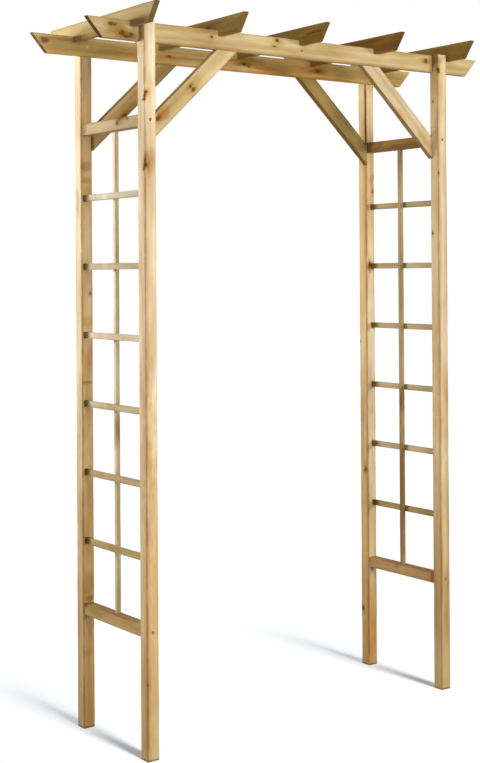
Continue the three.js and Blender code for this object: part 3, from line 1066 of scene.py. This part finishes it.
# Knee braces
braces = {
    "front_left_brace": {
        "seed": 41,
        "knots": [
            ((-518, 1798), (9, 7, 12), 0.95),
            ((-397, 1889), (7, 6, 10), 0.9),
            ((-407, 1897), (6, 5, 10), 0.8),
            ((-415, 1925), (5, 4, 8), 0.8),
        ],
        "zones": [
            ((-500, 1812), (34, 20, 20), (0.72, 0.48, 0.28), 0.8),
            ((-395, 1900), (45, 22, 20), (0.86, 0.7, 0.52), 0.7),
        ],
    },
    "front_right_brace": {
        "seed": 42,
        "zones": [
            ((412, 1868), (30, 12, 20), (0.96, 0.74, 0.6), 0.7),
            ((500, 1790), (40, 12, 20), (0.86, 0.74, 0.55), 0.6),
        ],
    },
    "rear_left_brace": {
        "seed": 43,
        "knots": [((-436, 1842), (8, 6, 12), 0.8)],
        "zones": [((-420, 1860), (50, 20, 20), (0.8, 0.66, 0.46), 0.5)],
    },
    "rear_right_brace": {"seed": 44},
}
# Painted light: the braces' cuts are made pale, standing in for light that the lamps don't give
# them.
braceEndLight = (0.95, 0.9, 0.8)  # factors of the colour
# Painted shade: a dark strip along the brace's narrow face that is turned to -X.
braceEdgeShade = ((0.6, 0.004, 0.03), (0.46, 0.38, 0.24), 0.9)  # along the lower edge
for end, endSign in ends.items():
    for side, sideSign in sides.items():
        node = f"{end}_{side}_brace"
        footX, footZ = arch["braceFoot"]
        headX, headZ = arch["braceHead"]
        tilt = atan2(headZ - footZ, footX - headX)
        along = Vector((-sideSign * cos(tilt), 0, sin(tilt)))
        across = Vector((sideSign * sin(tilt), 0, cos(tilt)))
        half = arch["braceWidth"] / 2
        y = endSign * beamMiddle
        lowCorner = Vector((sideSign * footX, y, footZ))
        run = (Vector((sideSign * headX, y, headZ)) - lowCorner).length
        # The cuts are upright at the foot and level at the head
        footSlope, headSlope = sin(tilt) / cos(tilt), -cos(tilt) / sin(tilt)
        shift = half * (footSlope + headSlope) / 2
        middle = lowCorner + along * (run / 2 + shift) + across * half
        screwX, screwZ = arch["braceScrew"]
        timber = {
            "size": (arch["braceWidth"], arch["boardThickness"]),
            "length": run + half * (headSlope - footSlope),
            "middle": tuple(middle),
            "axes": axesOf(along, across),
            "arris": arch["boardArris"],
            "cuts": (footSlope, headSlope),
            "screws": [((sideSign * screwX, y, screwZ), (sideSign, 0, 0), 1)],
            "look": {"endGrainAndPaintedLight": braceEndLight},
            **placed(braces[node], frontFaces[end]),
        }
        edge = tuple(middle - sideSign * across * half)
        timber["zones"] = [(edge, *braceEdgeShade)] + timber["zones"]
        addTimber(node, timber)
print("braces ready")

# Rails, slats and laths of the trellis sides
trellis = {
    "left_top_rail": {
        "knots": [
            ((-578, -60, 1803), (10, 5, 10), 0.9),
            ((-578, -45, 1792), (6, 6, 10), 0.9),
            ((-578, -100, 1800), (6, 4, 10), 0.8),
        ],
        "zones": [
            ((-578, 0, 1807.5), (200, 4, 20), (0.5, 0.38, 0.24), 0.85),
            ((-578, -60, 1798), (40, 14, 10), (0.76, 0.64, 0.44), 0.8),
            # Painted shadow of the rear post on the rail's rear end
            ((-578, 150, 1790), (20, 30, 20), (0.6, 0.42, 0.28), 0.8),
        ],
    },
    "left_bottom_rail": {
        "zones": [
            ((-578, 130, 357), (110, 50, 50), (0.78, 0.74, 0.56), 0.9),
            ((-578, -85, 357), (85, 50, 30), (1.14, 1.1, 1.04), 0.9),
            ((-562, 0, 374.5), (200, 3, 40), (0.46, 0.36, 0.24), 0.85),
            ((-578, 158, 372), (22, 10, 30), (0.42, 0.3, 0.18), 0.9),
        ],
    },
    "right_bottom_rail": {
        "zones": [
            ((562, 0, 374.5), (200, 3, 40), (0.52, 0.42, 0.32), 0.85),
            ((546, -153, 357), (12, 30, 20), (0.6, 0.42, 0.28), 0.8),
            ((546, 20, 366), (20, 8, 20), (0.74, 0.6, 0.42), 0.8),
        ],
    },
    "right_top_rail": {"zones": [((546, 0, 1780), (200, 14, 20), (0.6, 0.42, 0.26), 0.7)]},
    "right_lath": {
        "zones": [
            ((556.7, 0, 600), (340, 20, 20), (0.62, 0.45, 0.28), 0.8),
            ((556.7, 0, 925), (60, 20, 20), (0.46, 0.34, 0.22), 0.9),
            ((556.7, 0, 1760), (120, 20, 20), (0.7, 0.64, 0.58), 0.9),
        ],
    },
    "left_lath": {
        "zones": [
            ((-556.7, 0, 905), (60, 20, 20), (0.62, 0.45, 0.28), 0.9),
            ((-556.7, 0, 430), (130, 20, 20), (0.8, 0.72, 0.58), 0.8),
        ],
    },
}
# Painted shadows on the slats: the dark patch at each slat's rear end stands in for the rear post's
# shadow, and the smaller dark patch on the right slats stands in for the lath's shadow. The pale
# patch on the left slats lies beside the lath crossing.
slatShadowsAndPatches = {  # y and reach along the grain in metres, factors of the colour, strength
    "left": [(0.157, 0.036, (0.11, 0.065, 0.0), 0.97), (0.034, 0.018, (1.16, 1.18, 1.22), 0.9)],
    "right": [(0.157, 0.036, (0.33, 0.19, 0.04), 0.97), (-0.014, 0.012, (0.5, 0.42, 0.3), 0.9)],
}
slatMarkWidth = 0.05
firstSeeds = {"rail": 50, "slat": 60, "lath": 80}
for sideNumber, (side, sideSign) in enumerate(sides.items()):
    for railNumber, (rail, level) in enumerate(arch["railLevels"].items()):
        node = f"{side}_{rail}_rail"
        timber = {
            "size": arch["railSize"],
            "length": 2 * arch["railHalf"],
            "middle": (sideSign * arch["postX"], 0, level),
            "axes": axesOf((0, 1, 0), (0, 0, 1)),
            "arris": arch["railArris"],
            "seed": firstSeeds["rail"] + sideNumber * 2 + railNumber,
            **placed(trellis.get(node, {})),
        }
        addTimber(node, timber)
    slatX = sideSign * arch["slatX"]
    for place in range(1, arch["slatCount"] + 1):
        level = arch["railLevels"]["top"] - place * arch["slatPitch"]
        timber = {
            "size": arch["slatSize"],
            "length": 2 * arch["slatHalf"],
            "middle": (slatX, 0, level),
            "axes": axesOf((0, 1, 0), (0, 0, 1)),
            "arris": arch["latticeArris"],
            "seed": firstSeeds["slat"] + sideNumber * 10 + place,
            "zones": [
                ((slatX, y, level), (reach, slatMarkWidth, slatMarkWidth), factors, strength)
                for y, reach, factors, strength in slatShadowsAndPatches[side]
            ],
        }
        addTimber(f"{side}_slat_{place}", timber)
    node = f"{side}_lath"
    intoRail = arch["railSize"][0] / 2 - arch["lathTenon"]
    low, high = arch["railLevels"]["bottom"] + intoRail, arch["railLevels"]["top"] - intoRail
    timber = {
        "size": arch["lathSize"],
        "length": high - low,
        "middle": (sideSign * arch["lathX"], 0, (low + high) / 2),
        "axes": axesOf((0, 0, 1), (0, 1, 0)),
        "arris": arch["latticeArris"],
        "seed": firstSeeds["lath"] + sideNumber,
        **placed(trellis.get(node, {})),
    }
    addTimber(node, timber)
print("trellis sides ready")

# Screws: zinc that has gone yellow, with rust in spots
steels = {
    "rail": {"colour": (184, 138, 88), "rust": (132, 84, 48), "rough": (0.45, 0.7)},
    "beam": {"colour": (222, 196, 148), "rust": (196, 158, 104), "rough": (0.45, 0.7)},
    "other": {"colour": (170, 156, 124), "rust": (110, 76, 46), "rough": (0.4, 0.7)},
}
steelFinish = {
    "spots": ((700.0, 700.0, 700.0), 3.0, 0.6),  # stretch, detail, roughness
    "spotsAt": (0.48, 0.66),
    "rustDull": 0.8,  # how far rust takes the metal's shine away
    "pitting": ((1500.0, 1500.0, 1500.0), 2.0, 0.5),
    "pittingHeight": 0.1 * mm,
}


def steelMaterial(name, steel):
    material, tree, surface = newMaterial(name)
    place = tree.nodes.new("ShaderNodeTexCoord").outputs["Object"]
    rust = ramp(tree, cloud(tree, place, *steelFinish["spots"]), *steelFinish["spotsAt"])
    colour = mixColour(tree, rust, seen(steel["colour"]), seen(steel["rust"]))
    put(surface.inputs["Base Color"], colour)
    dull = times(tree, rust, steelFinish["rustDull"])
    put(surface.inputs["Metallic"], calc(tree, "SUBTRACT", 1.0, dull))
    low, high = steel["rough"]
    put(surface.inputs["Roughness"], calc(tree, "MULTIPLY_ADD", rust, high - low, low))
    pitting = cloud(tree, place, *steelFinish["pitting"])
    addBump(tree, surface, pitting, steelFinish["pittingHeight"])
    return material


screwSteel = {kind: steelMaterial(kind + "ScrewSteel", steel) for kind, steel in steels.items()}
for node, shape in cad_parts.items():
    if "screw" in node:
        kind = "rail" if "_rail_" in node else "beam" if "_beam_screw" in node else "other"
        for materialSlot in shape.material_slots:
            materialSlot.link = "OBJECT"
            materialSlot.material = screwSteel[kind]
print("screws ready")

# Floor, lamps and world
studio = {
    "floorRings": (0.5, 1, 2, 4, 8, 16, 30),
    "floorColumns": 96,
    "floorRough": 0.9,
    "floorSpecular": 0.1,
    "floorSeen": 0.85,  # how pale the floor is to the eye and in gloss
    "floorBounce": 0.30,  # how pale it is where it lights the timbers from below
    "floorLift": 0.23,  # its own light, which keeps the shadow pale
    "floorTint": (0.91, 0.99, 1.09),
    "floorWhite": (1.6, 3.2),  # between these radii the shading gives way to plain white,
    "shadowEnd": (-0.06, 0.94),  # and between these places behind the arch
    "world": 0.15,
}
# A lamp stands at its place and shines at its aim. The suns light the floor alone, so that they
# draw the arch's shadow there, and the other lamps light the arch alone
lamps = {
    "floorSunLeft": {
        "kind": "SUN", "power": 1.99, "place": (-0.03, -1.0, 0.8), "aim": (0, 0, 0), "angle": 6.5,
    },
    "floorSunRight": {
        "kind": "SUN", "power": 1.99, "place": (0.06, -1.0, 0.8), "aim": (0, 0, 0), "angle": 6.5,
    },
    "lowLamp": {
        "kind": "SPOT", "power": 20.0, "place": (-2.1, -0.6, 0.55), "aim": (-0.5, -0.1, 0.45),
        "spread": 84.0, "blend": 0.7, "radius": 0.3,
    },
    "leftLamp": {
        "kind": "AREA", "power": 25.0, "place": (-2.0, 0.9, 2.07), "aim": (0.0, 0.0, 1.6),
        "size": (0.7, 0.2),
    },
    "rearLamp": {
        "kind": "AREA", "power": 20.0, "place": (-1.10, 1.95, 1.65), "aim": (-0.3, 0.0, 1.4),
        "size": (0.12, 0.12),
    },
    "frontLamp": {
        "kind": "AREA", "power": 88.0, "place": (-0.65, -4.2, 2.1), "aim": (0.0, 0.0, 1.5),
        "size": (1.0, 0.8), "glossy": False,
    },
    "rightLamp": {
        "kind": "AREA", "power": 60.0, "place": (1.8, -3.5, 1.7), "aim": (0.0, 0.0, 1.3),
        "size": (0.8, 0.8), "glossy": False,
    },
}


def directRays(tree):
    # 1 for what the camera sees itself, in gloss or through glass, else 0
    rays = tree.nodes.new("ShaderNodeLightPath").outputs
    direct = calc(tree, "MAXIMUM", rays["Is Camera Ray"], rays["Is Glossy Ray"])
    return calc(tree, "MAXIMUM", direct, rays["Is Transmission Ray"])


def floorMaterial():
    # Near the arch the floor shows its shadow, and further off it is plain white
    material, tree, surface = newMaterial("paleFloor")
    surface.inputs["Roughness"].default_value = studio["floorRough"]
    surface.inputs["Specular IOR Level"].default_value = studio["floorSpecular"]
    direct = directRays(tree)
    place = tree.nodes.new("ShaderNodeTexCoord").outputs["Object"]
    white = ramp(tree, vectorCalc(tree, "LENGTH", place), *studio["floorWhite"])
    start, end = studio["shadowEnd"]
    behind = calc(tree, "SUBTRACT", parts(tree, place)[1], start)
    behind = calc(tree, "DIVIDE", behind, end - start, clamp=True)
    white = calc(tree, "MAXIMUM", white, behind)
    span = studio["floorSeen"] - studio["floorBounce"]
    pale = calc(tree, "MULTIPLY_ADD", direct, span, studio["floorBounce"])
    shaded = calc(tree, "SUBTRACT", 1.0, times(tree, direct, white))
    pale = times(tree, pale, shaded)
    put(surface.inputs["Base Color"], joined(tree, pale, pale, pale))
    put(surface.inputs["Emission Color"], mixColour(tree, white, studio["floorTint"], (1, 1, 1)))
    lift = calc(tree, "MULTIPLY_ADD", white, 1 - studio["floorLift"], studio["floorLift"])
    put(surface.inputs["Emission Strength"], times(tree, direct, lift))
    return material


def makeFloor():
    # Rings of points about the origin, joined to the middle
    turns = np.linspace(0, 2 * np.pi, studio["floorColumns"], endpoint=False)
    radii = np.array(studio["floorRings"], float)
    rings = np.stack([
        np.outer(radii, np.cos(turns)), np.outer(radii, np.sin(turns)), np.outer(radii, turns * 0),
    ], axis=-1)
    points = np.concatenate([[[0, 0, 0]], rings.reshape(-1, 3)])
    index = 1 + np.arange(radii.size * turns.size).reshape(radii.size, turns.size)
    after = np.roll(index, -1, axis=1)
    quads = np.stack([index[:-1], index[1:], after[1:], after[:-1]], axis=-1).reshape(-1, 4)
    fan = np.stack([np.zeros(turns.size, int), index[0], after[0]], axis=-1)
    mesh = bpy.data.meshes.new("floor")
    fillMesh(mesh, points, [quads, fan])
    mesh.materials.append(floorMaterial())
    floor = bpy.data.objects.new("floor", mesh)
    scene.collection.objects.link(floor)
    return floor


def addLamp(name, lamp, receivers):
    data = bpy.data.lights.new(name, lamp["kind"])
    data.energy = lamp["power"]
    if lamp["kind"] == "SUN":
        data.angle = radians(lamp["angle"])
    elif lamp["kind"] == "SPOT":
        data.spot_size = radians(lamp["spread"])
        data.spot_blend = lamp["blend"]
        data.shadow_soft_size = lamp["radius"]
    else:
        data.shape = "RECTANGLE"
        data.size, data.size_y = lamp["size"]
    item = bpy.data.objects.new(name, data)
    scene.collection.objects.link(item)
    place = Vector(lamp["place"])
    item.location = place
    item.rotation_euler = (place - Vector(lamp["aim"])).to_track_quat("Z", "Y").to_euler()
    item.visible_glossy = lamp.get("glossy", True)
    item.light_linking.receiver_collection = receivers


def makeLamps(floor):
    floorOnly = bpy.data.collections.new("sunlit")
    floorOnly.objects.link(floor)
    archOnly = bpy.data.collections.new("lamplit")
    archOnly.objects.link(floor)
    archOnly.collection_objects[0].light_linking.link_state = "EXCLUDE"
    for name, lamp in lamps.items():
        addLamp(name, lamp, floorOnly if lamp["kind"] == "SUN" else archOnly)


def makeWorld():
    # White to the eye and in gloss, and a faint light on the arch
    world = bpy.data.worlds.new("studio")
    world.use_nodes = True
    scene.world = world
    tree = world.node_tree
    tree.nodes.clear()
    background = tree.nodes.new("ShaderNodeBackground")
    put(background.inputs["Color"], (1, 1, 1))
    span = 1 - studio["world"]
    strength = calc(tree, "MULTIPLY_ADD", directRays(tree), span, studio["world"])
    put(background.inputs["Strength"], strength)
    output = tree.nodes.new("ShaderNodeOutputWorld")
    tree.links.new(background.outputs[0], output.inputs["Surface"])


makeLamps(makeFloor())
makeWorld()
print("stage ready")
